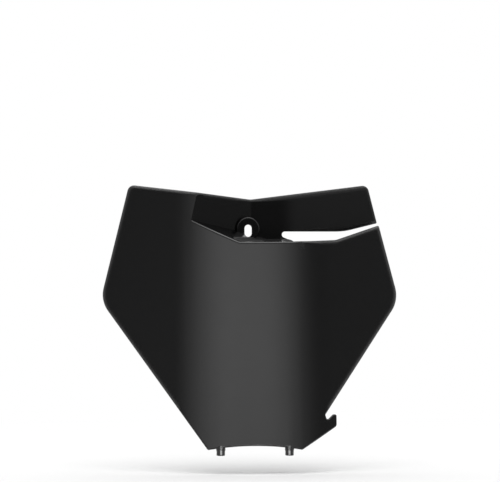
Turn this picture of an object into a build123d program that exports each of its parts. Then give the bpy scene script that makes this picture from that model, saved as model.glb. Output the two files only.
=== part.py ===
from build123d import *
import os
from math import cos, radians, sin, sqrt, tan

# Racing number board: one injection moulding in black polypropylene.
# Millimetres. The front faces -Y, +X is the viewer's right and +Z is up.
# The origin is midway between the two lugs on their axes, level with the lower corners.

# Wall and face: a rounded nose with two flat flanks, leaning back from the lugs
WALL = 3.0
RAKE = 11.0
NOSE_R = 146.0
FLANK = 28.0
NOSE_Y = -7.6

# Outline in front view: half widths and heights of the corners, and their rounds
BOTTOM_X = 41.9
BOTTOM_RISE = 4.0
WIDE_X, WIDE_Z = 136.2, 131.1
TOP_X, TOP_Z = 110.2, 236.5
RIGHT_TOP_X = 108.6
DIP_Z = 222.9
WIDE_ROUND = 25.0
TOP_ROUND = 6.0
DIP_ROUND = 15.0
BOTTOM_ROUND = 2.0

# Hose hook on the lower right edge: a finger with a small notch behind it
HOOK_TOP_Z = 30.2
HOOK_REACH = 10.6
HOOK_SIDE = 10.4
FINGER_W = 3.4
NOTCH_REACH, NOTCH_DEPTH = 1.6, 5.0
HOOK_ROUND = 3.5
TIP_ROUND = 1.6
NOTCH_ROUND = 1.4

# Recess: two upright walls that meet in a valley, over a floor that rises to the back.
# The right wall is square to the front as far as a soft bend, where the strip begins.
CREASE_X, CREASE_Z = -55.1, 204.1
RECESS_DEPTH = 40.3
FLOOR_Z = 184.2
FLOOR_RISE = 4.0
RAMP_FOOT_X = -12.7
RAMP_RISE = 17.0
VALLEY_ROUND = 3.0
BEND_X = 36.0
BEND_ROUND = 80.0
FOOT_ROUND = 8.0

# Lip of the lower plate right of the floor, which climbs to the right edge
LIP_X, LIP_Z = 76.0, 185.9
LIP_END_Z = 199.5
LIP_ROUND = 2.0

# Strip above the lip, set back behind the face, and the hose gap between them
STRIP_BACK = 10.0
GAP_X = 28.8
GAP_SLANT = 8.0
GAP_TOP_Z = 193.8
GAP_BEND_X = 86.5
GAP_END_Z = 201.5
GAP_SIDE = 3.2
GAP_ROUND = 2.7
GAP_BEND_ROUND = 60.0
GAP_FOOT_ROUND = 1.0

# Screw boss, cored from behind, with an upright slot for an M6 screw
BOSS_X, BOSS_Z = -2.5, 196.4
BOSS_R = 10.4
BOSS_CORE_R = 7.5
BOSS_PROUD, BOSS_SEAT = 8.5, 3.0
BOSS_WEB = 3.5
BOSS_ROUND = 1.0
SLOT_Z = 194.5
SLOT_W, SLOT_L = 6.6, 11.0

# Lugs on the lower edge, each on a neck with a shoulder, with half round roots up the back of the wall
LUG_X = 30.5
LUG_R = 3.8
LUG_END_Z = -4.9
LUG_ROUND = 0.8
NECK_STEP = 0.3
NECK_Z = -0.3
ROOT_R = 5.8
ROOT_Z = 20.0
ROOT_ROUND = 4.8

# Round of the moulding's front edges
EDGE_ROUND = 1.3

# Well past the board in every direction
REACH = 300.0


def face_depth(x):
    """Depth of the face behind the nose, square to its lean."""
    x, a = abs(x), radians(FLANK)
    if x < NOSE_R * sin(a):
        return NOSE_R - sqrt(NOSE_R**2 - x**2)
    return NOSE_R - NOSE_R * cos(a) + (x - NOSE_R * sin(a)) * tan(a)


def face_y(x, z):
    """Place of the face along Y at this point of the front view."""
    a = radians(RAKE)
    return NOSE_Y + face_depth(x) / cos(a) + z * tan(a)


def side_x(z):
    """Place of the outline's straight right side along X at this height."""
    if z < WIDE_Z:
        return BOTTOM_X + (WIDE_X - BOTTOM_X) * z / WIDE_Z
    return WIDE_X + (RIGHT_TOP_X - WIDE_X) * (z - WIDE_Z) / (TOP_Z - WIDE_Z)


def form(inset):
    """Everything behind the face, with the face moved into the wall by inset."""
    r, a = NOSE_R - inset, radians(FLANK)
    tx, ty = r * sin(a), NOSE_R - r * cos(a)
    ex, ey = tx + REACH * cos(a), ty + REACH * sin(a)
    edge = [
        Line((-ex, ey), (-tx, ty)),
        ThreePointArc((-tx, ty), (0, NOSE_R - r), (tx, ty)),
        Line((tx, ty), (ex, ey)),
        Polyline((ex, ey), (ex, REACH), (-ex, REACH), (-ex, ey)),
    ]
    return Pos(0, NOSE_Y, 0) * Rot(-RAKE, 0, 0) * extrude(make_face(edge), REACH, both=True)


def floor_planes():
    """The recess's floor, the ramp left of it and the lip right of it, facing up."""
    foot = Vector(RAMP_FOOT_X, face_y(RAMP_FOOT_X, FLOOR_Z), FLOOR_Z)
    corner = Vector(LIP_X, face_y(LIP_X, LIP_Z), LIP_Z)
    crease = Vector(CREASE_X, face_y(CREASE_X, CREASE_Z), CREASE_Z)
    end = Vector(side_x(LIP_END_Z), corner.Y, LIP_END_Z)
    planes = []
    for start, stop, rise in ((foot, corner, FLOOR_RISE), (crease, foot, RAMP_RISE), (corner, end, 0)):
        back = Vector(0, cos(radians(rise)), sin(radians(rise)))
        planes.append(Plane(start, x_dir=stop - start, z_dir=(stop - start).cross(back)))
    return planes


def lies_on(edge, plane):
    """Whether the edge runs in the plane."""
    return all(abs((edge @ t - plane.origin).dot(plane.z_dir)) < 1e-4 for t in (0.1, 0.5, 0.9))


def is_wall_foot(edge):
    """Whether the edge runs across, where the recess's upright walls meet its floor."""
    mid, way = edge @ 0.5, edge.tangent_at(0.5)
    within = max(abs(mid.X), abs(mid.Y), mid.Z) < REACH - 1
    return within and abs(way.X) > 0.5 and abs(way.Z) < 0.9


def is_lip(edge, air):
    """Whether the edge runs across where the air of the recess breaks out through the face."""
    mid, way = edge @ 0.5, edge.tangent_at(0.5)
    on_face = abs(mid.Y - face_y(mid.X, mid.Z)) < 0.05
    return on_face and abs(way.Z) < 0.9 and air.distance_to(Vertex(*mid)) < 0.01


def valley_y():
    """Place of the recess's valley along Y."""
    return face_y(0, FLOOR_Z) + RECESS_DEPTH


def strip_y(x):
    """Place of the strip's front along Y right of its bend."""
    end_x = side_x(GAP_END_Z)
    slope = (face_y(end_x, GAP_END_Z) + STRIP_BACK - valley_y()) / (end_x - BEND_X)
    return valley_y() + slope * (x - BEND_X)


def recess(grow):
    """The air of the recess, grown into the wall by grow."""
    valley = valley_y()
    left = (valley - face_y(CREASE_X, CREASE_Z)) / -CREASE_X
    plan = Polygon(
        (0, valley),
        (-REACH, valley - REACH * left),
        (-REACH, -REACH),
        (BEND_X + REACH, -REACH),
        (BEND_X + REACH, strip_y(BEND_X + REACH)),
        (BEND_X, valley),
        align=None,
    )
    plan = fillet(plan.vertices().sort_by_distance((0, valley, 0))[0], VALLEY_ROUND)
    plan = fillet(plan.vertices().sort_by_distance((BEND_X, valley, 0))[0], BEND_ROUND)
    if grow:
        plan = offset(plan, grow, kind=Kind.INTERSECTION)
    air = extrude(plan, REACH)
    planes = [plane.offset(-grow) for plane in floor_planes()]
    for plane in planes:
        air = split(air, bisect_by=plane, keep=Keep.TOP)
    air = fillet([e for e in air.edges() if sum(lies_on(e, p) for p in planes) == 2], FOOT_ROUND + grow)
    if grow:
        air = fillet([e for e in air.edges() if is_wall_foot(e)], grow)
    return air


def through(sketch):
    """A front view sketch driven through the whole depth."""
    return extrude(Plane.XZ * sketch, REACH, both=True)


def outline():
    """The board's outline in front view, with the hook."""
    root_x = side_x(HOOK_TOP_Z)
    hook_x = root_x + HOOK_REACH
    corners = [
        (-BOTTOM_X, 0, 0),
        (BOTTOM_X, 0, 0),
        (hook_x, HOOK_TOP_Z - HOOK_SIDE, HOOK_ROUND),
        (hook_x, HOOK_TOP_Z, TIP_ROUND),
        (hook_x - FINGER_W, HOOK_TOP_Z, TIP_ROUND),
        (root_x + NOTCH_REACH, HOOK_TOP_Z - NOTCH_DEPTH, NOTCH_ROUND),
        (root_x, HOOK_TOP_Z, NOTCH_ROUND),
        (WIDE_X, WIDE_Z, WIDE_ROUND),
        (RIGHT_TOP_X, TOP_Z, TOP_ROUND),
        (0, DIP_Z, DIP_ROUND),
        (-TOP_X, TOP_Z, TOP_ROUND),
        (-WIDE_X, WIDE_Z, WIDE_ROUND),
    ]
    edge = FilletPolyline(*[c[:2] for c in corners], radius=[c[2] for c in corners], close=True)
    arc_r = (BOTTOM_X**2 + BOTTOM_RISE**2) / (2 * BOTTOM_RISE)
    shape = make_face(edge) - Pos(0, BOTTOM_RISE - arc_r) * Circle(arc_r)
    return fillet([v for v in shape.vertices() if abs(v.Y) < 0.01], BOTTOM_ROUND)


def strip_z(x):
    """Height of the strip's lower edge right of its bend."""
    return GAP_TOP_Z + (GAP_END_Z - GAP_TOP_Z) * (x - GAP_BEND_X) / (side_x(GAP_END_Z) - GAP_BEND_X)


def lip_z(x):
    """Height of the lip right of its corner."""
    return LIP_Z + (LIP_END_Z - LIP_Z) * (x - LIP_X) / (side_x(LIP_END_Z) - LIP_X)


def gap():
    """The hose gap in front view, from well below the floor up to the strip's lower edge."""
    low_z = FLOOR_Z / 2
    corners = [
        (GAP_X + GAP_SLANT, low_z, 0),
        (WIDE_X, low_z, 0),
        (WIDE_X, strip_z(WIDE_X), 0),
        (GAP_BEND_X, GAP_TOP_Z, GAP_BEND_ROUND),
        (GAP_X, GAP_TOP_Z, GAP_ROUND),
        (GAP_X, LIP_Z + GAP_SIDE, GAP_ROUND),
        (GAP_X + GAP_SLANT, LIP_Z, GAP_FOOT_ROUND),
    ]
    return make_face(FilletPolyline(*[c[:2] for c in corners], radius=[c[2] for c in corners], close=True))


def slit():
    """The right end of the hose gap in front view, between the lip and the strip."""
    near = (LIP_X + side_x(LIP_END_Z)) / 2
    far = side_x(LIP_END_Z) + WALL
    low = [(x, lip_z(x)) for x in (near, far)]
    high = [(x, strip_z(x)) for x in (far, near)]
    return Polygon(*low, *high, align=None)


def bar(radius, length):
    """A round bar that stands on its end."""
    return Cylinder(radius, length, align=(Align.CENTER, Align.CENTER, Align.MIN))


# The shell: the face and the recess, with one even wall behind both
air, core = recess(0), form(WALL)
front = form(0) - air
front = fillet([e for e in front.edges() if is_lip(e, air)], LIP_ROUND)
board = front - (core - recess(WALL))
board &= through(outline())
board -= through(gap()) & core
board -= through(slit())

# The slit's two end corners and the strip's upper corner, and with them the front edge of the whole outline,
# which runs on from them as far as the crease
slit_end = Vector(side_x(GAP_END_Z), strip_y(side_x(GAP_END_Z)) - STRIP_BACK / 2, GAP_END_Z)
ends = board.edges().filter_by(Axis.Y).sort_by_distance(slit_end)[:2]
corner = board.edges().sort_by_distance((RIGHT_TOP_X, strip_y(RIGHT_TOP_X), TOP_Z))[0]
board = fillet([*ends, corner], EDGE_ROUND)

# The screw boss, its core and its slot
boss = bar(BOSS_R, BOSS_PROUD + WALL + BOSS_SEAT)
boss = fillet(boss.edges().group_by(Axis.Z)[0], BOSS_ROUND)
boss -= Pos(0, 0, BOSS_WEB) * bar(BOSS_CORE_R, REACH)
boss_place = Pos(BOSS_X, valley_y() - BOSS_PROUD, BOSS_Z) * Rot(-90, 0, 0)
board -= boss_place * bar(BOSS_CORE_R, REACH)
board += boss_place * boss
board -= through(Pos(BOSS_X, SLOT_Z) * SlotOverall(SLOT_L, SLOT_W, rotation=90))

# The lugs and their roots
lug = bar(LUG_R, NECK_Z - LUG_END_Z)
lug = fillet(lug.edges().group_by(Axis.Z)[0], LUG_ROUND)
neck = bar(LUG_R + NECK_STEP, BOTTOM_RISE - NECK_Z)
root = bar(ROOT_R, ROOT_Z)
root = fillet(root.edges().group_by(Axis.Z)[-1], ROOT_ROUND)
behind = form(WALL / 2) & through(outline())
for x in (-LUG_X, LUG_X):
    board += Pos(x, 0, 0) * root & behind
    board += Pos(x, 0, NECK_Z) * neck
    board += Pos(x, 0, LUG_END_Z) * lug

os.makedirs("parts", exist_ok=True)
export_step(board, "parts/number_board.step")
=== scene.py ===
from math import cos, pi, radians, sin, tan

import bmesh
import bpy
from mathutils import Matrix, Vector


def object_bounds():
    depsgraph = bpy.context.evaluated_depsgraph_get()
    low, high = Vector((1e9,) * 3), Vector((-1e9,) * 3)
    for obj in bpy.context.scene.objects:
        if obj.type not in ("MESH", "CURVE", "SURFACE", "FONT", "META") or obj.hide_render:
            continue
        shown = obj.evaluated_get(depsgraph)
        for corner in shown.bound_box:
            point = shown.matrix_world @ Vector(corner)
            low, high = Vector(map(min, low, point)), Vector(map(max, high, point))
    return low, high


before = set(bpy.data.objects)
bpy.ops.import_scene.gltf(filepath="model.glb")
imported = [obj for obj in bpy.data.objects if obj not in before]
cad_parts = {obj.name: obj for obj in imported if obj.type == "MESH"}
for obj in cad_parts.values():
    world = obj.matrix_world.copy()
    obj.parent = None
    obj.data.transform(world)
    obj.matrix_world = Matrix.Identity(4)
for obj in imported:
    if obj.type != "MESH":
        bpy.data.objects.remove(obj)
cad_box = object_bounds()

# Lengths are in metres and angles in degrees; the board's front faces -Y

# Camera: level, a little to the viewer's left, far off with a long lens
PICTURE_WIDTH = 500
METRES_PER_PIXEL = 0.0009
CAMERA_AIM = Vector((-0.00208, 0.040, 0.1852))
CAMERA_YAW = 3.61
CAMERA_DISTANCE = 2.5
SENSOR_MM = 36.0

# Floor, a little below the ends of the lugs: it takes the board's shadow, and is plain white far behind
FLOOR_Z = -0.021
FLOOR_SIZE = 24.0
FLOOR_ROUGHNESS = 0.9
FLOOR_WHITE = 0.735
FLOOR_DARK = 0.04
# Between these Y the paint turns from dark, which the face mirrors, to white, and then to a plain glow
FRONT_FADE = (-1.5, -0.35)
BACK_FADE = (0.25, 0.7)

# Key light: a wide, low panel above the camera, brightest in its middle
KEY_AZIMUTH = -3.0
KEY_ELEVATION = 20.5
KEY_DISTANCE = 5.0
# Half of the angle that the panel takes up, as the board sees it
KEY_HALF_WIDTH = 56
KEY_HALF_HEIGHT = 7.5
KEY_RADIANCE = 1.68
# Places along the panel, from one end to the other, and their levels
KEY_BELL = ((0.0, 0.0), (0.09, 0.04), (0.46, 1.0), (0.54, 1.0), (0.91, 0.04), (1.0, 0.0))

# Overhead light: a large soft panel above the board
TOP_AZIMUTH = 0
TOP_ELEVATION = 94
TOP_DISTANCE = 3.0
TOP_HALF_WIDTH = 35
TOP_HALF_HEIGHT = 35
TOP_RADIANCE = 1.8

# Low light: a narrow strip just above the floor in front, which shows in the round lugs
LOW_PLACE = (0.0, -0.2, -0.0145)
LOW_WIDTH = 0.2
LOW_HEIGHT = 0.012
LOW_RADIANCE = 12.0

# Light tent: how far back a direction points, from 0 (front) to 1 (behind), and its level
TENT_LEVELS = (
    (0.0, 0.01),
    (0.003, 0.02),
    (0.0075, 0.06),
    (0.022, 0.19),
    (0.045, 0.34),
    (0.06, 0.35),
    (0.12, 0.26),
    (0.2, 0.2),
    (0.33, 0.21),
    (0.42, 0.8),
    (0.5, 1.0),
)

# Black polypropylene: satin and a little uneven, with a fine grain
BLACK = (0.0018, 0.0018, 0.0019)
PLASTIC_IOR = 1.49
SATIN = 0.2
UNEVEN = 0.03
UNEVEN_SIZE = 0.02
UNEVEN_DETAIL = 3.0
GRAIN_SIZE = 0.00035
GRAIN_DETAIL = 2.0
GRAIN_BUMP = 0.00001
GRAIN_STRENGTH = 0.5

# The lugs are smoother, from the Z where they begin
LUG_GLOSS = 0.09
LUG_TOP = (0.0, -0.0006)

# The floor of the recess is duller under the boss and by the hose gap
DULL = 0.9
# A place is a span of each axis that it names: where it begins, where it ends and how soft its ends are
DULL_PLACES = (
    {"X": (-0.016, 0.009, 0.003), "Y": (0.0345, 0.0715, 0.001), "Z": (0.178, 0.1885, 0.0008)},
    {"X": (0.029, 0.045, 0.003), "Y": (0.0345, 0.0715, 0.001), "Z": (0.178, 0.1885, 0.0008)},
)

# Rims look softer than the mould's edge, but not the lower edge or the corners inside the recess
RIM = 0.006
RIM_SAMPLES = 8
# Between these Z the softness goes, down to the lower edge
PLAIN_BELOW = (0.04, 0.03)
PLAIN_PLACES = (
    {"X": (-0.08, 0.05, 0.012), "Z": (0.172, 0.221, 0.001)},
    {"X": (-0.06, -0.044, 0.001), "Z": (0.172, 0.2265, 0.001)},
)


def towards(azimuth, elevation):
    """The direction from the board to a place round it; azimuth 0 is straight in front."""
    a, e = radians(azimuth), radians(elevation)
    return Vector((sin(a) * cos(e), -cos(a) * cos(e), sin(e)))


def combine(tree, operation, *values):
    """Work out a value from other values or sockets."""
    made = tree.nodes.new("ShaderNodeMath")
    made.operation = operation
    for socket, value in zip(made.inputs, values):
        if isinstance(value, bpy.types.NodeSocket):
            tree.links.new(value, socket)
        else:
            socket.default_value = value
    return made.outputs[0]


def smooth_step(tree, value, ends):
    """A smooth rise from 0 at the first end to 1 at the second."""
    step = tree.nodes.new("ShaderNodeMapRange")
    step.interpolation_type = "SMOOTHSTEP"
    step.inputs["From Min"].default_value, step.inputs["From Max"].default_value = ends
    tree.links.new(value, step.inputs["Value"])
    return step.outputs["Result"]


def within_any(tree, axes, places):
    """1 inside any of the places and 0 outside them, with soft ends."""
    most = 0.0
    for spans in places:
        share = 1.0
        for axis, (low, high, soft) in spans.items():
            over = smooth_step(tree, axes[axis], (low - soft, low + soft))
            under = smooth_step(tree, axes[axis], (high + soft, high - soft))
            share = combine(tree, "MULTIPLY", share, combine(tree, "MULTIPLY", over, under))
        most = combine(tree, "MAXIMUM", most, share)
    return most


def noise(tree, place, size, detail):
    """Random mottling of a given size."""
    made = tree.nodes.new("ShaderNodeTexNoise")
    made.inputs["Scale"].default_value = 1 / size
    made.inputs["Detail"].default_value = detail
    tree.links.new(place, made.inputs["Vector"])
    return made.outputs["Fac"]


def place_and_axes(tree):
    """The place on the piece, whole and split into its X, Y and Z."""
    place = tree.nodes.new("ShaderNodeTexCoord").outputs["Object"]
    split = tree.nodes.new("ShaderNodeSeparateXYZ")
    tree.links.new(place, split.inputs[0])
    return place, split.outputs


def set_stops(ramp, levels):
    """Give a ramp its grey levels."""
    ramp.elements[0].position = levels[0][0]
    for position, _ in levels[1:-1]:
        ramp.elements.new(position)
    ramp.elements[-1].position = levels[-1][0]
    for stop, (_, level) in zip(ramp.elements, levels):
        stop.color = (level, level, level, 1)


def satin_gloss(tree, place, axes):
    """The roughness: satin, smoother on the lugs and duller in parts of the recess."""
    lugs = smooth_step(tree, axes["Z"], LUG_TOP)
    dull = within_any(tree, axes, DULL_PLACES)
    uneven = noise(tree, place, UNEVEN_SIZE, UNEVEN_DETAIL)
    rough = combine(tree, "MULTIPLY_ADD", uneven, UNEVEN, SATIN - UNEVEN / 2)
    rough = combine(tree, "MULTIPLY_ADD", lugs, LUG_GLOSS - SATIN, rough)
    return combine(tree, "MULTIPLY_ADD", dull, DULL - SATIN, rough)


def soft_rims(tree, axes):
    """The surface's direction, rounded over at the rims and left alone in the plain places."""
    plain = within_any(tree, axes, PLAIN_PLACES)
    plain = combine(tree, "MAXIMUM", plain, smooth_step(tree, axes["Z"], PLAIN_BELOW))
    rim = tree.nodes.new("ShaderNodeBevel")
    rim.samples = RIM_SAMPLES
    tree.links.new(combine(tree, "MULTIPLY_ADD", plain, -RIM, RIM), rim.inputs["Radius"])
    return rim.outputs["Normal"]


def black_polypropylene():
    """Satin black moulding with a fine grain."""
    material = bpy.data.materials.new("black_polypropylene_satin")
    material.use_nodes = True
    tree = material.node_tree
    shader = tree.nodes["Principled BSDF"]
    shader.inputs["Base Color"].default_value = (*BLACK, 1)
    shader.inputs["IOR"].default_value = PLASTIC_IOR
    place, axes = place_and_axes(tree)
    tree.links.new(satin_gloss(tree, place, axes), shader.inputs["Roughness"])

    grain = tree.nodes.new("ShaderNodeBump")
    grain.inputs["Strength"].default_value = GRAIN_STRENGTH
    grain.inputs["Distance"].default_value = GRAIN_BUMP
    tree.links.new(noise(tree, place, GRAIN_SIZE, GRAIN_DETAIL), grain.inputs["Height"])
    tree.links.new(soft_rims(tree, axes), grain.inputs["Normal"])
    tree.links.new(grain.outputs["Normal"], shader.inputs["Normal"])
    return material


def pale_floor_material():
    """White paint that takes the board's shadow; where it fades out, it still looks white to the camera."""
    material = bpy.data.materials.new("pale_floor")
    material.use_nodes = True
    tree = material.node_tree
    shader = tree.nodes["Principled BSDF"]
    shader.inputs["Roughness"].default_value = FLOOR_ROUGHNESS
    shader.inputs["Specular IOR Level"].default_value = 0.0
    shader.inputs["Emission Color"].default_value = (1, 1, 1, 1)
    _, axes = place_and_axes(tree)
    near = smooth_step(tree, axes["Y"], FRONT_FADE)
    far = smooth_step(tree, axes["Y"], BACK_FADE)
    paint = combine(tree, "MULTIPLY_ADD", near, FLOOR_WHITE - FLOOR_DARK, FLOOR_DARK)
    paint = combine(tree, "MULTIPLY", paint, combine(tree, "SUBTRACT", 1.0, far))
    tree.links.new(paint, shader.inputs["Base Color"])

    path = tree.nodes.new("ShaderNodeLightPath")
    to_camera = path.outputs["Is Camera Ray"]
    seen = combine(tree, "MAXIMUM", to_camera, path.outputs["Is Glossy Ray"])
    seen = combine(tree, "MAXIMUM", seen, path.outputs["Is Transmission Ray"])
    behind = combine(tree, "MULTIPLY", far, seen)
    in_front = combine(tree, "MULTIPLY", combine(tree, "SUBTRACT", 1.0, near), to_camera)
    tree.links.new(combine(tree, "ADD", behind, in_front), shader.inputs["Emission Strength"])
    return material


def floor():
    """The sheet that the board stands over."""
    flat = bmesh.new()
    bmesh.ops.create_grid(
        flat,
        x_segments=1,
        y_segments=1,
        size=FLOOR_SIZE / 2,
        matrix=Matrix.Translation((0, 0, FLOOR_Z)),
    )
    mesh = bpy.data.meshes.new("floor")
    flat.to_mesh(mesh)
    flat.free()
    mesh.materials.append(pale_floor_material())
    sheet = bpy.data.objects.new("floor", mesh)
    bpy.context.scene.collection.objects.link(sheet)


def light_tent():
    """The world: dim in front of the board, pale at its sides, white behind it and to the camera."""
    world = bpy.data.worlds.new("light_tent")
    bpy.context.scene.world = world
    world.use_nodes = True
    tree = world.node_tree
    place = tree.nodes.new("ShaderNodeTexCoord")
    split = tree.nodes.new("ShaderNodeSeparateXYZ")
    back = tree.nodes.new("ShaderNodeMapRange")
    back.inputs["From Min"].default_value = -1
    ramp = tree.nodes.new("ShaderNodeValToRGB")
    set_stops(ramp.color_ramp, TENT_LEVELS)
    tree.links.new(place.outputs["Generated"], split.inputs[0])
    tree.links.new(split.outputs["Y"], back.inputs["Value"])
    tree.links.new(back.outputs["Result"], ramp.inputs["Fac"])
    path = tree.nodes.new("ShaderNodeLightPath")
    level = combine(tree, "MAXIMUM", ramp.outputs["Color"], path.outputs["Is Camera Ray"])
    tree.links.new(level, tree.nodes["Background"].inputs["Color"])


def panel_light(name, width, height, radiance, place, way):
    """A flat light that shines back along its way, and that the camera doesn't see."""
    lamp = bpy.data.lights.new(name, "AREA")
    lamp.shape = "RECTANGLE"
    lamp.size = width
    lamp.size_y = height
    lamp.energy = radiance * pi * width * height
    piece = bpy.data.objects.new(name, lamp)
    piece.location = place
    piece.rotation_euler = way.to_track_quat("Z", "Y").to_euler()
    piece.visible_camera = False
    bpy.context.scene.collection.objects.link(piece)
    return lamp


def softbox(name, azimuth, elevation, distance, half_width, half_height, radiance):
    """A panel light that faces the middle of the board."""
    way = towards(azimuth, elevation)
    width = 2 * distance * tan(radians(half_width))
    height = 2 * distance * tan(radians(half_height))
    middle = (cad_box[0] + cad_box[1]) / 2
    return panel_light(name, width, height, radiance, middle + way * distance, way)


def fade_to_sides(lamp):
    """Make a panel light brightest in its middle, with nothing left at its two ends."""
    lamp.use_nodes = True
    tree = lamp.node_tree
    place = tree.nodes.new("ShaderNodeNewGeometry")
    split = tree.nodes.new("ShaderNodeSeparateXYZ")
    bell = tree.nodes.new("ShaderNodeValToRGB")
    bell.color_ramp.interpolation = "EASE"
    set_stops(bell.color_ramp, KEY_BELL)
    tree.links.new(place.outputs["Parametric"], split.inputs[0])
    tree.links.new(split.outputs["X"], bell.inputs["Fac"])
    tree.links.new(bell.outputs["Color"], tree.nodes["Emission"].inputs["Strength"])


def studio_lights():
    """The key light, the overhead light and the low strip for the lugs."""
    key_size = (KEY_HALF_WIDTH, KEY_HALF_HEIGHT)
    key = softbox("key", KEY_AZIMUTH, KEY_ELEVATION, KEY_DISTANCE, *key_size, KEY_RADIANCE)
    fade_to_sides(key)
    top_size = (TOP_HALF_WIDTH, TOP_HALF_HEIGHT)
    softbox("overhead", TOP_AZIMUTH, TOP_ELEVATION, TOP_DISTANCE, *top_size, TOP_RADIANCE)
    straight_ahead = towards(0, 0)
    panel_light("low_strip", LOW_WIDTH, LOW_HEIGHT, LOW_RADIANCE, LOW_PLACE, straight_ahead)


def camera():
    """The camera of the picture."""
    lens = bpy.data.cameras.new("camera")
    lens.sensor_width = SENSOR_MM
    lens.lens = SENSOR_MM * CAMERA_DISTANCE / (METRES_PER_PIXEL * PICTURE_WIDTH)
    eye = bpy.data.objects.new("camera", lens)
    way = towards(-CAMERA_YAW, 0)
    eye.location = CAMERA_AIM + way * CAMERA_DISTANCE
    eye.rotation_euler = way.to_track_quat("Z", "Y").to_euler()
    bpy.context.scene.collection.objects.link(eye)
    bpy.context.scene.camera = eye


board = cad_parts["number_board"]
board.material_slots[0].material = black_polypropylene()

light_tent()
studio_lights()
floor()
camera()

bpy.context.scene.view_settings.view_transform = "Standard"
